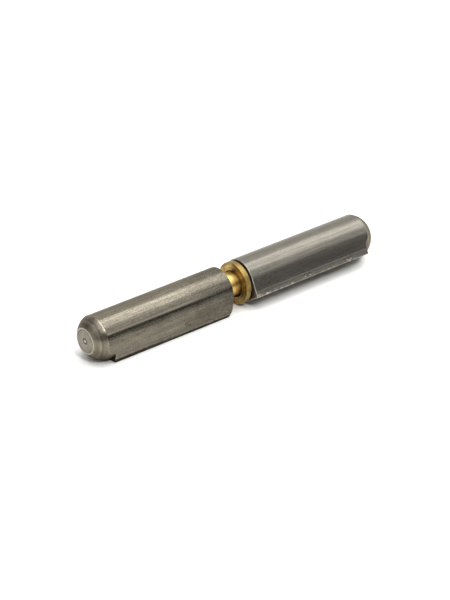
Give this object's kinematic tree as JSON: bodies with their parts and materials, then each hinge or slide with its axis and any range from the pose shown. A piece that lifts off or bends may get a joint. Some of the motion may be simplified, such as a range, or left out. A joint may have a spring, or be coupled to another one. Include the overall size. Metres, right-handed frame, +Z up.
{
  "type": "weld on barrel hinge",
  "caption": "Weld-on barrel hinge: drop-shaped steel leaves with turned dome ends, drawn apart on a brass pin with a brass thrust washer.",
  "frame": {"origin": "on the ground, midway between the leaves, under the middle of the whole hinge", "axes": "+Z up from the ground, +X along the hinge pin from the near leaf to the far leaf, -Y towards the welding noses"},
  "size_m": [0.127, 0.0182, 0.016],
  "materials": {
    "drawn_steel": "bright-drawn, with lathe-turned ends",
    "turned_brass": "turned"
  },
  "bodies": {
    "frame_leaf_body": {"frame_leaf": "drawn_steel"},
    "pin_body": {"hinge_pin": "turned_brass"},
    "washer_body": {"thrust_washer": "turned_brass"},
    "door_leaf_body": {"door_leaf": "drawn_steel"}
  },
  "joints": [
    {"name": "washer_slide", "type": "slide", "parent": "frame_leaf_body", "child": "washer_body", "axis": [1, 0, 0], "range_m": [-0.00595, 0]},
    {"name": "pin_slide", "type": "slide", "parent": "washer_body", "child": "pin_body", "axis": [1, 0, 0], "range_m": [-0.00075, 0.0245]},
    {"name": "leaf_turn", "type": "hinge", "parent": "pin_body", "child": "door_leaf_body", "pos_m": [0, 0.00113, 0.008], "axis": [1, 0, 0], "continuous": true}
  ]
}
